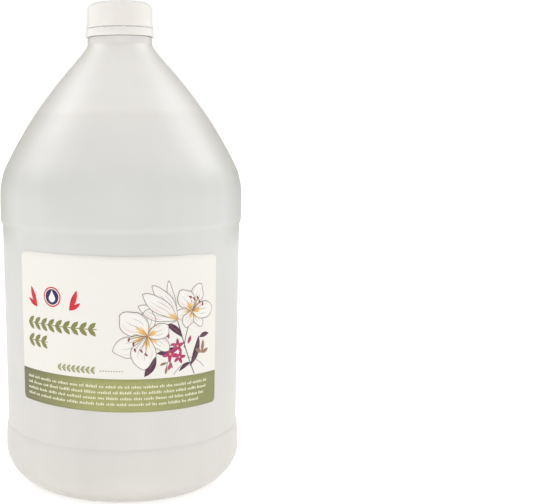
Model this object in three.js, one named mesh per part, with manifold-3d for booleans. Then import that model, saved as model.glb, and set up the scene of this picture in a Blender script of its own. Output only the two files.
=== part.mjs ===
// Round one-gallon oil jug with a 38 mm neck, closed by a tamper-evident screw cap.
//
// Millimetres, +Z up. The origin is where the bottle's axis meets the ground under its standing
// ring. A bearing is an angle about +Z, counted from the front (-Y) towards +X.

import * as THREE from 'three';
import { mergeVertices } from 'three/addons/utils/BufferGeometryUtils.js';
import Module from 'manifold-3d';

const wasm = await Module();
wasm.setup();

// ---------------------------------------------------------------- driving dimensions

const SEGMENTS = 48; // facets round every turned piece
const CURVE_STEPS = 4; // straight pieces along each curve of an outline
const WELD_DISTANCE = 1e-4; // corners nearer than this are one corner
const EDGE = 0.3; // how far a moulded edge is broken

// Bottle body, from the base up
const WALL = 0.9;
const PUSH_UP = 7.5; // how far the middle of the base stands off the ground
const PUSH_UP_BENDS = [point(30, PUSH_UP), point(50, 5.5)];
const RING_INNER_R = 57.5; // flat standing ring
const RING_OUTER_R = 62;
const BUMPER_R = 75.1; // lower bumper, just over the heel
const BUMPER_Z = 21;
const HEEL_BENDS = [point(64.2, 1.6), point(BUMPER_R, 8)];
const BUMPER_BEND = point(BUMPER_R, 28);
const BUMPER_END = point(74.7, 32);
const PANEL_FOOT_BEND = point(74.4, 34.6);
const PANEL_BOTTOM_R = 73.7; // recessed panel, drawn in towards its foot
const PANEL_BOTTOM_Z = 35.6;
const PANEL_TOP_R = 75;
const PANEL_TOP_Z = 160.8;
const BODY_R = 76.2; // largest radius, at the band over the panel
const STEP_TOP_Z = 166.5;
const STEP_MIDDLE_Z = (PANEL_TOP_Z + STEP_TOP_Z) / 2;
const SHOULDER_Z = 180;
const SHOULDER_TOP_BEND = point(BODY_R, 191.4);
const SHOULDER_BREAK = point(71.1, 201); // where the rounding runs into the long slope
const SHOULDER_BEND = point(55.5, 232);
const SHOULDER_END = point(30.2, 260.3);
const SHOULDER_END_SLOPE = 0.9; // radius lost for each millimetre of height
const FILL_Z = 231.2; // oil level
const OIL_GAP = 0.3;

// Neck: the collar, the land under the tamper band, the bead that holds the band, the wall and rim
const COLLAR_R = 20;
const COLLAR_BOTTOM_Z = 273.8;
const COLLAR_TOP_Z = 277.9;
const LAND_R = 18.9;
const BEAD_R = 19.85;
const BEAD_UNDER_Z = 281;
const BEAD_TOP_Z = 281.7;
const NECK_R = 17.45; // root of the neck's thread
const NECK_BOTTOM_Z = 284;
const BORE_R = 16;
const BORE_ROUNDING = 4.4; // height over which the bore's foot starts to open
const RIM_Z = 295.5;

// Thread, right-handed, six turns to the inch
const PITCH = 25.4 / 6;
const NECK_THREAD = { rootR: NECK_R, crestR: 18.6, startZ: 286.65, startBearing: 0, turns: 1.5 };
const CAP_THREAD_TURNS = 1.25;
const CAP_THREAD_LAG = 90; // degrees that the cap's thread starts after the neck's
const CAP_CREST_R = 18;
const THREAD_ROOT_WIDTH = 2;
const THREAD_CREST_WIDTH = 1.1;
const THREAD_FADE = 0.08; // part of a thread's length over which each end runs out
const THREAD_SINK = 0.6; // how far a thread's root is sunk in its wall

// Screw cap
const CAP_TOP_Z = 299.4;
const CAP_BOTTOM_Z = 283.55;
const CAP_R = 20.15;
const CAP_FLARE_R = 20.75;
const CAP_FLARE = { straight: 1.2, bend: 3, end: 5.6 }; // heights over the cap's foot
const CAP_EDGE = { r: 6.5, z: 4.5 }; // the rounded top edge, across and down
const CAP_INNER_R = 19.2;
const CAP_UNDERSIDE_Z = 297.1;
const CAP_CORNER = { r: 1.3, z: 1.5 }; // slope between the underside and the skirt
const CAP_LEAD_IN = { r: 0.4, z: 0.6 };

// Tamper band
const BAND_BOTTOM_Z = 278.2;
const BAND_TOP_Z = 283.05;
const BAND_TOP_R = 20.75;
const BAND_BOTTOM_R = 21.1;
const BAND_FOOT = 0.8; // height of the straight part at its foot
const BAND_INNER_R = 20.1;
const BAND_BEAD = { r: 19.45, low: 1.3, high: 1.9, top: 2.4 }; // heights over the band's foot
const BRIDGES = 9;
const BRIDGE_BEARING = 7; // bearing of the first bridge
const BRIDGE = { width: 2, depth: 0.45, rise: 0.2, sink: 0.3 };

// Seals, stacked between the rim and the cap's underside
const FOIL = { r: 17.4, bottom: 295.65, top: 295.85 };
const LINER = { r: 17.6, bottom: 296, top: 296.9 };

// Label, wrapped on the panel
const LABEL_LEFT = -52.4; // bearings of its ends
const LABEL_RIGHT = 48.6;
const LABEL_BOTTOM_Z = 58.7; // heights at bearing 0
const LABEL_TOP_Z = 149.9;
const LABEL_BOW = { top: -0.6, bottom: 0.9 }; // how far the ends of each edge stand over its middle
const LABEL_TILT = 0.97; // degrees that it droops towards the right
const LABEL_CORNER_R = 2.6;
const LABEL_CORNER_TURNS = [0, 30, 60, 90]; // degrees round a corner where its arc has a column
const LABEL_GAP = 0.1;
const LABEL_THICKNESS = 0.3;

const FINISHES = {
  milkyPlastic: { color: 0xe4e3dd, roughness: 0.45 },
  oil: { color: 0xe6e2c8, roughness: 0.1 },
  labelFilm: { color: 0xf3f0e8, roughness: 0.5 },
  foil: { color: 0xc9ccd0, roughness: 0.3, metalness: 0.9 },
  linerFoam: { color: 0xf2f0ea, roughness: 0.8 },
  capPlastic: { color: 0xecebe5, roughness: 0.4 },
};

// ---------------------------------------------------------------- solids

const radians = THREE.MathUtils.degToRad;

function point(r, z) {
  return new THREE.Vector2(r, z);
}

// Points of an outline from a start along its stretches. A stretch is the row of points that shape it:
// its end alone if it is straight, or one or two bends and then its end.
function outlineOf(start, ...stretches) {
  const path = new THREE.Path();
  path.moveTo(start.x, start.y);
  for (const stretch of stretches) {
    const corners = stretch.flatMap((corner) => [corner.x, corner.y]);
    if (stretch.length === 1) path.lineTo(...corners);
    if (stretch.length === 2) path.quadraticCurveTo(...corners);
    if (stretch.length === 3) path.bezierCurveTo(...corners);
  }
  return path.getPoints(CURVE_STEPS);
}

// The faces of a geometry as one closed body that faces out, with its shared corners merged.
function solid(geometry) {
  const bare = new THREE.BufferGeometry();
  bare.setAttribute('position', geometry.getAttribute('position').clone());
  if (geometry.index) bare.setIndex(geometry.index.clone());
  const merged = mergeVertices(bare, WELD_DISTANCE);
  const corners = merged.getAttribute('position').array;
  const kept = [];
  for (let i = 0; i < merged.index.count; i += 3) {
    const [a, b, c] = [0, 1, 2].map((k) => merged.index.getX(i + k));
    if (a !== b && b !== c && c !== a) kept.push(a, b, c);
  }
  const body = (triVerts) => new wasm.Manifold(new wasm.Mesh({
    numProp: 3,
    vertProperties: new Float32Array(corners),
    triVerts: new Uint32Array(triVerts),
  }));
  const first = body(kept);
  return first.volume() > 0 ? first : body(kept.reverse());
}

// A solid turned about +Z from a closed outline of (radius, height) points.
function turned(outline) {
  const geometry = new THREE.LatheGeometry(outline, SEGMENTS);
  geometry.rotateX(Math.PI / 2);
  return solid(geometry);
}

// A ridge that climbs as a right-handed helix, sunk in its wall and run out at both ends.
function thread({ rootR, crestR, startZ, startBearing, turns }) {
  const height = Math.abs(crestR - rootR);
  const outward = Math.sign(crestR - rootR);
  const steps = Math.round(turns * SEGMENTS);
  const section = new THREE.Shape([
    point(-THREAD_SINK, -THREAD_ROOT_WIDTH / 2),
    point(0, -THREAD_ROOT_WIDTH / 2),
    point(height, -THREAD_CREST_WIDTH / 2),
    point(height, THREAD_CREST_WIDTH / 2),
    point(0, THREAD_ROOT_WIDTH / 2),
    point(-THREAD_SINK, THREAD_ROOT_WIDTH / 2),
  ]);
  const ridge = new THREE.ExtrudeGeometry(section, { steps, depth: 1, bevelEnabled: false });
  const place = ridge.getAttribute('position');
  for (let i = 0; i < place.count; i += 1) {
    const along = place.getZ(i);
    const fromEnd = Math.min(along, 1 - along);
    const fade = Math.min(1, fromEnd / THREAD_FADE);
    const sunkDepth = (THREAD_SINK / 2) * (1 - fade);
    const stands = Math.max(place.getX(i) * fade - sunkDepth, -THREAD_SINK);
    const radius = rootR + outward * (place.getX(i) < 0 ? -THREAD_SINK : stands);
    const bearing = radians(startBearing) + along * turns * 2 * Math.PI;
    const z = startZ + along * turns * PITCH + place.getY(i);
    place.setXYZ(i, radius * Math.sin(bearing), -radius * Math.cos(bearing), z);
  }
  return solid(ridge);
}

// The named mesh of a solid, in a plain material.
function piece(name, body, finish) {
  const { vertProperties, triVerts } = body.getMesh();
  const geometry = new THREE.BufferGeometry();
  geometry.setAttribute('position', new THREE.BufferAttribute(new Float32Array(vertProperties), 3));
  geometry.setIndex(new THREE.BufferAttribute(new Uint32Array(triVerts), 1));
  geometry.computeVertexNormals();
  const mesh = new THREE.Mesh(geometry, new THREE.MeshStandardMaterial(finish));
  mesh.name = name;
  return mesh;
}

// ---------------------------------------------------------------- bottle and oil

// Outside of the blown wall, from the middle of the base up to the foot of the neck.
function wallOutline() {
  return outlineOf(
    point(0, PUSH_UP),
    [...PUSH_UP_BENDS, point(RING_INNER_R, 0)],
    [point(RING_OUTER_R, 0)],
    [...HEEL_BENDS, point(BUMPER_R, BUMPER_Z)],
    [BUMPER_BEND, BUMPER_END],
    [PANEL_FOOT_BEND, point(PANEL_BOTTOM_R, PANEL_BOTTOM_Z)],
    [point(PANEL_TOP_R, PANEL_TOP_Z)],
    [point(PANEL_TOP_R, STEP_MIDDLE_Z), point(BODY_R, STEP_MIDDLE_Z), point(BODY_R, STEP_TOP_Z)],
    [point(BODY_R, SHOULDER_Z)],
    [SHOULDER_TOP_BEND, SHOULDER_BREAK],
    [SHOULDER_BEND, SHOULDER_END],
  );
}

// The same outline moved into the bottle by a distance, square to itself.
function inset(outline, distance) {
  return outline.map((here, i) => {
    const before = outline[Math.max(i - 1, 0)];
    const after = outline[Math.min(i + 1, outline.length - 1)];
    const along = after.clone().sub(before).normalize();
    const r = i === 0 ? 0 : here.x - along.y * distance;
    const z = i === 0 ? here.y + distance : here.y + along.x * distance;
    return point(r, z);
  });
}

// Outside of the neck from the shoulder to the rim.
function neckOutline() {
  const meets = SHOULDER_END.y + (SHOULDER_END.x - COLLAR_R) / SHOULDER_END_SLOPE;
  const neck = outlineOf(
    SHOULDER_END,
    [point(COLLAR_R, meets), point(COLLAR_R, COLLAR_BOTTOM_Z)],
    [point(COLLAR_R, COLLAR_TOP_Z - EDGE)],
    [point(COLLAR_R - EDGE, COLLAR_TOP_Z)],
    [point(LAND_R, COLLAR_TOP_Z)],
    [point(LAND_R, BEAD_UNDER_Z - EDGE)],
    [point(BEAD_R, BEAD_UNDER_Z)],
    [point(BEAD_R, BEAD_TOP_Z)],
    [point(NECK_R, NECK_BOTTOM_Z)],
    [point(NECK_R, RIM_Z - EDGE)],
    [point(NECK_R - EDGE, RIM_Z)],
  );
  return neck.slice(1);
}

// The bore from the rim down to the inside of the shoulder.
function boreOutline(shoulderInside) {
  const meets = shoulderInside.y + (shoulderInside.x - BORE_R) / SHOULDER_END_SLOPE;
  const bore = outlineOf(
    point(BORE_R + EDGE, RIM_Z),
    [point(BORE_R, RIM_Z - EDGE)],
    [point(BORE_R, meets + BORE_ROUNDING)],
    [point(BORE_R, meets), shoulderInside],
  );
  return bore.slice(0, -1);
}

function bottleBody() {
  const outside = wallOutline();
  const inside = inset(outside, WALL).reverse();
  const blown = turned([...outside, ...neckOutline(), ...boreOutline(inside[0]), ...inside]);
  return piece('bottle_body', blown.add(thread(NECK_THREAD)), FINISHES.milkyPlastic);
}

// Oil fills the bottle up to the fill line, just clear of the wall.
function oilFill() {
  const side = inset(wallOutline(), WALL + OIL_GAP);
  const over = side.findIndex((p) => p.y > FILL_Z);
  const below = side[over - 1];
  const level = below.clone().lerp(side[over], (FILL_Z - below.y) / (side[over].y - below.y));
  const filled = turned([...side.slice(0, over), level, point(0, FILL_Z)]);
  return piece('oil_fill', filled, FINISHES.oil);
}

// ---------------------------------------------------------------- label

// Radius of the bottle's faceted panel at a bearing in degrees and a height.
function panelRadius(bearing, z) {
  const facet = 360 / SEGMENTS;
  const offCentre = bearing - (Math.floor(bearing / facet) + 0.5) * facet;
  const rise = (z - PANEL_BOTTOM_Z) / (PANEL_TOP_Z - PANEL_BOTTOM_Z);
  const round = THREE.MathUtils.lerp(PANEL_BOTTOM_R, PANEL_TOP_R, rise);
  return (round * Math.cos(radians(facet / 2))) / Math.cos(radians(offCentre));
}

// Bearings of the label's columns: its ends, its corner arcs and the panel's own edges.
function labelColumns() {
  const facet = 360 / SEGMENTS;
  const perDegree = radians(1) * PANEL_TOP_R;
  const intoCorner = (turn) => LABEL_CORNER_R * (1 - Math.cos(radians(turn)));
  const cornerSteps = LABEL_CORNER_TURNS.map((turn) => intoCorner(turn) / perDegree);
  const columns = [];
  for (const step of cornerSteps) columns.push(LABEL_LEFT + step, LABEL_RIGHT - step);
  const lastCorner = cornerSteps.at(-1);
  for (let edge = Math.ceil(LABEL_LEFT / facet) * facet; edge < LABEL_RIGHT; edge += facet) {
    if (edge > LABEL_LEFT + lastCorner && edge < LABEL_RIGHT - lastCorner) columns.push(edge);
  }
  return columns.sort((a, b) => a - b);
}

function frontLabel() {
  const columns = labelColumns();
  const sheet = new THREE.BoxGeometry(columns.length - 1, 1, 1, columns.length - 1, 1, 1);
  const place = sheet.getAttribute('position');
  const halfHeight = (LABEL_TOP_Z - LABEL_BOTTOM_Z) / 2;
  const middleZ = (LABEL_TOP_Z + LABEL_BOTTOM_Z) / 2;
  for (let i = 0; i < place.count; i += 1) {
    const bearing = columns[Math.round(place.getX(i) + (columns.length - 1) / 2)];
    const fromEnd = radians(Math.min(bearing - LABEL_LEFT, LABEL_RIGHT - bearing)) * PANEL_TOP_R;
    const intoCorner = Math.max(0, LABEL_CORNER_R - fromEnd);
    const drop = LABEL_CORNER_R - Math.sqrt(Math.max(0, LABEL_CORNER_R ** 2 - intoCorner ** 2));
    const droop = Math.tan(radians(LABEL_TILT)) * radians(bearing) * PANEL_TOP_R;
    const isTop = place.getY(i) > 0;
    const bow = (isTop ? LABEL_BOW.top : LABEL_BOW.bottom) * (bearing / LABEL_LEFT) ** 2;
    const z = middleZ - droop + bow + (isTop ? 1 : -1) * (halfHeight - drop);
    const stands = LABEL_GAP + (place.getZ(i) > 0 ? LABEL_THICKNESS : 0);
    const radius = panelRadius(bearing, z) + stands;
    place.setXYZ(i, radius * Math.sin(radians(bearing)), -radius * Math.cos(radians(bearing)), z);
  }
  return piece('front_label', solid(sheet), FINISHES.labelFilm);
}

// ---------------------------------------------------------------- closure

// A flat disc with slightly broken edges.
function disc({ r, bottom, top }) {
  const edge = (top - bottom) / 4;
  return turned([
    point(0, bottom),
    point(r - edge, bottom),
    point(r, bottom + edge),
    point(r, top - edge),
    point(r - edge, top),
    point(0, top),
  ]);
}

// Cap from its skirt's foot, up the outside, over the rounded edge and back down the inside.
function capOutline() {
  const shoulderR = CAP_R - CAP_EDGE.r;
  const shoulderZ = CAP_TOP_Z - CAP_EDGE.z;
  const outside = new THREE.Path();
  outside.moveTo(CAP_FLARE_R - EDGE, CAP_BOTTOM_Z);
  outside.lineTo(CAP_FLARE_R, CAP_BOTTOM_Z + EDGE);
  outside.lineTo(CAP_FLARE_R, CAP_BOTTOM_Z + CAP_FLARE.straight);
  outside.quadraticCurveTo(CAP_R, CAP_BOTTOM_Z + CAP_FLARE.bend, CAP_R, CAP_BOTTOM_Z + CAP_FLARE.end);
  outside.lineTo(CAP_R, shoulderZ);
  outside.absellipse(shoulderR, shoulderZ, CAP_EDGE.r, CAP_EDGE.z, 0, Math.PI / 2);
  const inside = [
    point(0, CAP_TOP_Z),
    point(0, CAP_UNDERSIDE_Z),
    point(CAP_INNER_R - CAP_CORNER.r, CAP_UNDERSIDE_Z),
    point(CAP_INNER_R, CAP_UNDERSIDE_Z - CAP_CORNER.z),
    point(CAP_INNER_R, CAP_BOTTOM_Z + CAP_LEAD_IN.z),
    point(CAP_INNER_R + CAP_LEAD_IN.r, CAP_BOTTOM_Z),
    point(CAP_FLARE_R - EDGE, CAP_BOTTOM_Z),
  ];
  return [...outside.getPoints(CURVE_STEPS), ...inside];
}

// The cap's thread runs in the neck's groove, half a pitch under the neck's own ridge.
function screwCap() {
  const capThread = thread({
    rootR: CAP_INNER_R,
    crestR: CAP_CREST_R,
    startZ: NECK_THREAD.startZ + PITCH * (CAP_THREAD_LAG / 360 - 0.5),
    startBearing: NECK_THREAD.startBearing + CAP_THREAD_LAG,
    turns: CAP_THREAD_TURNS,
  });
  return piece('screw_cap', turned(capOutline()).add(capThread), FINISHES.capPlastic);
}

// Band whose inner bead hooks under the neck's bead, with the bridges that the cap breaks.
function tamperBand() {
  let band = turned([
    point(BAND_INNER_R, BAND_BOTTOM_Z),
    point(BAND_BOTTOM_R - EDGE, BAND_BOTTOM_Z),
    point(BAND_BOTTOM_R, BAND_BOTTOM_Z + EDGE),
    point(BAND_BOTTOM_R, BAND_BOTTOM_Z + BAND_FOOT),
    point(BAND_TOP_R, BAND_TOP_Z - EDGE),
    point(BAND_TOP_R - EDGE, BAND_TOP_Z),
    point(BAND_INNER_R, BAND_TOP_Z),
    point(BAND_INNER_R, BAND_BOTTOM_Z + BAND_BEAD.top),
    point(BAND_BEAD.r, BAND_BOTTOM_Z + BAND_BEAD.high),
    point(BAND_BEAD.r, BAND_BOTTOM_Z + BAND_BEAD.low),
    point(BAND_INNER_R, BAND_BOTTOM_Z),
  ]);
  const height = BRIDGE.rise + BRIDGE.sink;
  const middleZ = BAND_TOP_Z + (BRIDGE.rise - BRIDGE.sink) / 2;
  for (let i = 0; i < BRIDGES; i += 1) {
    const bridge = new THREE.BoxGeometry(BRIDGE.width, BRIDGE.depth, height);
    bridge.translate(0, -(BAND_INNER_R + BAND_TOP_R) / 2, middleZ);
    bridge.rotateZ(radians(BRIDGE_BEARING + (360 / BRIDGES) * i));
    band = band.add(solid(bridge));
  }
  return piece('tamper_band', band, FINISHES.capPlastic);
}

// ---------------------------------------------------------------- assembly

const jug = new THREE.Group();
jug.add(
  bottleBody(),
  oilFill(),
  frontLabel(),
  piece('foil_seal', disc(FOIL), FINISHES.foil),
  piece('cap_liner', disc(LINER), FINISHES.linerFoam),
  screwCap(),
  tamperBand(),
);

export default jug;
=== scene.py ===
# Looks of a round one-gallon jug of massage oil, with a front label and a tamper-evident screw cap.
#
# Shapes are worked out in millimetres, in the frame of the CAD part: +Z up, the jug's axis at x = y = 0 and
# the label towards -Y. A bearing is an angle about +Z in radians, counted from -Y towards +X. Outlines are
# rows of (radius, height) points. Art on the label is placed by (u, v), in millimetres along the label's arc
# and up from its middle. MM turns millimetres into metres when a mesh is made.

import functools
import math
import random

import bmesh
import bpy
import numpy as np
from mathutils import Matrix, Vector

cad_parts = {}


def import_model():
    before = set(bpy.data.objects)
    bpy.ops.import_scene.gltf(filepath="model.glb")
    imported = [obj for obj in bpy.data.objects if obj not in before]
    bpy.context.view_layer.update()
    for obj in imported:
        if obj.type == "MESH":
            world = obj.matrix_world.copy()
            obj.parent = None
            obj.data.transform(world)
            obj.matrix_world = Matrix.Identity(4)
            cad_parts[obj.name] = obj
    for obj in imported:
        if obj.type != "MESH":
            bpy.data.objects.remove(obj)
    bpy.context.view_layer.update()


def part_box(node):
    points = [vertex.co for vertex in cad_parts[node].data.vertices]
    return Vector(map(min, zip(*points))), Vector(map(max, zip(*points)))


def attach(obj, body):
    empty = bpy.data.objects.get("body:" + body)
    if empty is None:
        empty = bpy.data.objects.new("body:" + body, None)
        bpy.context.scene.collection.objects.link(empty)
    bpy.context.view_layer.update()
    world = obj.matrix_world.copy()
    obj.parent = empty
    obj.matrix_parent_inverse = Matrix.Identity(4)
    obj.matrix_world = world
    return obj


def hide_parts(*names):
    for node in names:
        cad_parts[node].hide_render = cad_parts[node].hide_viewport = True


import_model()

MM = 0.001

# ---------------------------------------------------------------- sizes read from the frame


def span(node):
    """Largest radius, lowest height and highest height of a CAD node, in millimetres."""
    low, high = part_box(node)
    return max(high.x, high.y) / MM, low.z / MM, high.z / MM


BODY_R, _, RIM_Z = span("bottle_body")
BAND_BOTTOM_R, BAND_BOTTOM_Z, _ = span("tamper_band")
CAP_FLARE_R, CAP_BOTTOM_Z, CAP_TOP_Z = span("screw_cap")
FILL_Z = span("oil_fill")[2]
FOIL_R, _, FOIL_TOP_Z = span("foil_seal")
LINER_R, LINER_BOTTOM_Z, _ = span("cap_liner")

# ---------------------------------------------------------------- driving dimensions

# Jug, from the base up. A bend is a point that a curve of the outline leans towards.
WALL = 0.9
WALL_EDGE = 0.5
PUSH_UP = 7.5
PUSH_UP_BENDS = [(30, PUSH_UP), (50, 5.5)]
PUSH_UP_STEPS = 26
RING_INNER_R, RING_OUTER_R = 57.5, 62
BUMPER_R, BUMPER_Z = 75.1, 21
HEEL_BENDS = [(64.2, 1.6), (BUMPER_R, 8)]
BUMPER_BEND = (BUMPER_R, 28)
BUMPER_END = (74.7, 32)
PANEL_FOOT_BEND = (74.4, 34.6)
PANEL_BOTTOM_R, PANEL_BOTTOM_Z = 73.7, 35.6
PANEL_TOP_R, PANEL_TOP_Z = 75, 160.8
STEP_TOP_Z, SHOULDER_Z = 166.5, 180
STEP_MIDDLE_Z = (PANEL_TOP_Z + STEP_TOP_Z) / 2
SHOULDER_TOP_BEND = (BODY_R, 191.4)
SHOULDER_BREAK = (71.1, 201)
SHOULDER_BEND = (55.5, 232)
SHOULDER_END = (30.2, 260.3)
SHOULDER_END_SLOPE = 0.9
COLLAR_R, COLLAR_BOTTOM_Z, COLLAR_GAP = 20, 273.8, 0.06
LAND_R = 18.9
BEAD_R, BEAD_UNDER_Z, BEAD_TOP_Z = 19.85, 281, 281.7
NECK_R, NECK_BOTTOM_Z = 17.45, 284
BORE_R, BORE_ROUNDING = 16, 4.4
NECK_EDGE = 0.3
SEAM_HEIGHT, SEAM_HALF_ANGLE = 0.09, math.radians(0.35)
OIL_GAP = 0.05
MENISCUS_DROP, MENISCUS_REACH = 1.6, 6

# Threads, right-handed, six turns to the inch
PITCH = 25.4 / 6
THREAD_START_Z = 286.65
THREAD_HEIGHT = 1.15
THREAD_TURNS = 1.5
THREAD_ROOT_WIDTH, THREAD_CREST_WIDTH = 2, 1.1
THREAD_FADE = 0.12
CAP_THREAD_TURNS = 1.25
CAP_THREAD_LAG = math.radians(90)

# Screw cap. The flare's heights are over its foot. Its edge, corner and lead-in are given across and down.
# The gate mark is a nub in a groove, in a dish that is as deep as the nub is high.
CAP_R = 20.15
CAP_FLARE_STRAIGHT, CAP_FLARE_BEND, CAP_FLARE_END = 1.2, 3, 5.6
CAP_EDGE = (6.5, 4.5)
CAP_INNER_R = 19.2
CAP_UNDERSIDE_Z = 297.1
CAP_CORNER = (1.3, 1.5)
CAP_LEAD_IN = (0.4, 0.6)
GATE_DISH_R, GATE_HEIGHT, GATE_R = 5, 0.18, 1.1
GATE_GROOVE_R, GATE_GROOVE_DEPTH, GATE_GROOVE_WIDTH = 2.2, 0.12, 0.7

# Ring that the sealing head leaves in the foil
SEAL_RING_R, SEAL_RING_DEPTH, SEAL_RING_WIDTH = 14.8, 0.1, 0.5

# Tamper band. The bead's and the foot's heights are over the band's foot.
BAND_TOP_Z = 283.26
BAND_TOP_R, BAND_INNER_R, BAND_BEAD_R = 20.75, 20.1, 19.45
BAND_FOOT = 0.8
BAND_BEAD_LOW, BAND_BEAD_HIGH, BAND_BEAD_TOP = 1.3, 1.9, 2.4
BRIDGES = 9
BRIDGE_BEARING = math.radians(7)
BRIDGE_HALF_ANGLE = math.radians(2.8)

# Label, from end to end round the panel. A bow is how far an edge's ends stand over its middle, and a lift
# is how far the inner or outer face stands off the panel.
LABEL_LEFT, LABEL_RIGHT = math.radians(-52.4), math.radians(48.6)
LABEL_BOTTOM_Z, LABEL_TOP_Z = 58.7, 149.9
LABEL_BOW_LOW, LABEL_BOW_HIGH = 0.9, -0.6
LABEL_TILT = math.radians(0.97)
LABEL_CORNER_R = 2.6
LABEL_ARC_R = 74.5
LABEL_LIFT = (0.02, 0.15)
INK_BOTTOM = 0.1
INK_LAYER = 0.012

COLUMNS = 192

# ---------------------------------------------------------------- outlines


def bezier(*corners, steps=12):
    """Points along a Bezier curve of any degree."""
    rows = []
    for share in np.linspace(0, 1, steps + 1):
        layer = [np.array(c, float) for c in corners]
        while len(layer) > 1:
            layer = [a * (1 - share) + b * share for a, b in zip(layer, layer[1:])]
        rows.append(tuple(layer[0]))
    return rows


def toward(a, b, distance):
    """The point at a distance from a on the way to b."""
    a, b = np.array(a, float), np.array(b, float)
    return tuple(a + (b - a) * distance / np.linalg.norm(b - a))


def distinct(points):
    """The outline with repeated points left out."""
    return [points[0]] + [b for a, b in zip(points, points[1:]) if math.dist(a, b) > 1e-4]


def soften(points, cut, least=math.radians(14)):
    """The outline with its corners rounded off, and with a point beside each rounding to hold it tight."""
    points = distinct(points)
    soft = [points[0]]
    for before, here, after in zip(points, points[1:], points[2:]):
        way_in, way_out = np.subtract(here, before), np.subtract(after, here)
        lengths = np.linalg.norm(way_in), np.linalg.norm(way_out)
        turn = math.acos(np.clip(way_in @ way_out / (lengths[0] * lengths[1]), -1, 1))
        if turn < least:
            soft.append(here)
            continue
        size = min(cut, 0.42 * min(lengths))
        start, end = toward(here, before, size), toward(here, after, size)
        if lengths[0] > 4 * size:
            soft.append(toward(here, before, 1.8 * size))
        soft += bezier(start, here, end, steps=4)
        if lengths[1] > 4 * size:
            soft.append(toward(here, after, 1.8 * size))
    return soft + [points[-1]]


def split(points, longest, fine=None, is_fine=lambda before, here: False):
    """The outline with no stretch longer than a length, or than a finer length where is_fine says so."""
    points = distinct(points)
    rows = [points[0]]
    for before, here in zip(points, points[1:]):
        step = fine if is_fine(before, here) else longest
        pieces = math.ceil(math.dist(before, here) / step)
        rows += [tuple(np.add(before, np.subtract(here, before) * k / pieces)) for k in range(1, pieces + 1)]
    return rows


def inset(points, distance):
    """The outline moved towards the axis and upwards off the base, square to itself."""
    moved = []
    for i, here in enumerate(points):
        along = np.subtract(points[min(i + 1, len(points) - 1)], points[max(i - 1, 0)])
        along = along / np.linalg.norm(along)
        moved.append((max(here[0] - along[1] * distance, 0), here[1] + along[0] * distance))
    moved[0] = (0, points[0][1] + distance)
    return moved


# ---------------------------------------------------------------- meshes


def make_object(name, vertices, faces, material):
    """A closed mesh in metres, with its faces turned outwards, in the scene."""
    mesh = bpy.data.meshes.new(name)
    mesh.from_pydata((np.asarray(vertices, float) * MM).tolist(), [], faces)
    shape = bmesh.new()
    shape.from_mesh(mesh)
    bmesh.ops.recalc_face_normals(shape, faces=shape.faces)
    for face in shape.faces:
        face.smooth = True
    shape.to_mesh(mesh)
    shape.free()
    mesh.materials.append(material)
    made = bpy.data.objects.new(name, mesh)
    bpy.context.scene.collection.objects.link(made)
    return made


def polar(radius, bearing, z):
    """Vertices at radii, bearings and heights, which are arrays of one shape."""
    corners = (radius * np.sin(bearing), -radius * np.cos(bearing), z + 0 * radius)
    return np.stack(corners, axis=-1)


def even_bearings(count=COLUMNS):
    return np.arange(count) * 2 * math.pi / count


def lathe(name, outline, material, bearings=None, relief=None):
    """A solid turned about +Z. An outline that starts and ends on the axis closes there, any other closes on
    itself. relief(bearing, radius, z, row) gives the millimetres that a point moves outwards and upwards."""
    bearings = even_bearings() if bearings is None else bearings
    on_axis = outline[0][0] < 1e-6
    rings = np.array(outline[1:-1] if on_axis else outline, float)
    bearing, radius = np.meshgrid(bearings, rings[:, 0])
    z = np.repeat(rings[:, 1:], len(bearings), axis=1)
    if relief:
        row = np.repeat(np.arange(len(rings))[:, None], len(bearings), axis=1)
        out, up = relief(bearing, radius, z, row)
        radius, z = radius + out, z + up
    vertices = polar(radius, bearing, z).reshape(-1, 3)
    count, around = len(rings), len(bearings)
    faces = []
    for i in range(count - 1 if on_axis else count):
        low, high = i * around, ((i + 1) % count) * around
        for j in range(around):
            k = (j + 1) % around
            faces.append((low + j, low + k, high + k, high + j))
    if on_axis:
        first, last = len(vertices), len(vertices) + 1
        vertices = np.vstack([vertices, (0, 0, outline[0][1]), (0, 0, outline[-1][1])])
        end = (count - 1) * around
        faces += [(first, (j + 1) % around, j) for j in range(around)]
        faces += [(last, end + j, end + (j + 1) % around) for j in range(around)]
    return make_object(name, vertices, faces, material)


def thread_relief(bearing, z, start_z, start_bearing, turns):
    """Height of a right-handed thread's ridge at each bearing and height."""
    height = np.zeros_like(z)
    flank = (THREAD_ROOT_WIDTH - THREAD_CREST_WIDTH) / 2
    for turn in range(math.ceil(turns) + 1):
        along = ((bearing - start_bearing) % (2 * math.pi)) / (2 * math.pi) + turn
        off_ridge = np.abs(z - start_z - along * PITCH)
        fade = np.clip(np.minimum(along, turns - along) / (THREAD_FADE * turns), 0, 1)
        ridge = np.clip((THREAD_ROOT_WIDTH / 2 - off_ridge) / flank, 0, 1)
        height = np.maximum(height, THREAD_HEIGHT * fade * ridge)
    return height


def closed_sheet(outer, inner):
    """Vertices and faces of the solid between two grids of points of one shape."""
    rows, columns = outer.shape[:2]
    vertices = np.vstack([outer.reshape(-1, 3), inner.reshape(-1, 3)])
    under = rows * columns
    faces = []
    for i in range(rows - 1):
        for j in range(columns - 1):
            a, b = i * columns + j, (i + 1) * columns + j
            faces.append((a, b, b + 1, a + 1))
            faces.append((under + a + 1, under + b + 1, under + b, under + a))
    edge = list(range(columns))
    edge += [i * columns + columns - 1 for i in range(1, rows)]
    edge += [(rows - 1) * columns + j for j in range(columns - 2, -1, -1)]
    edge += [i * columns for i in range(rows - 2, 0, -1)]
    for here, after in zip(edge, edge[1:] + edge[:1]):
        faces.append((here, after, under + after, under + here))
    return vertices, faces


# ---------------------------------------------------------------- materials


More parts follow.
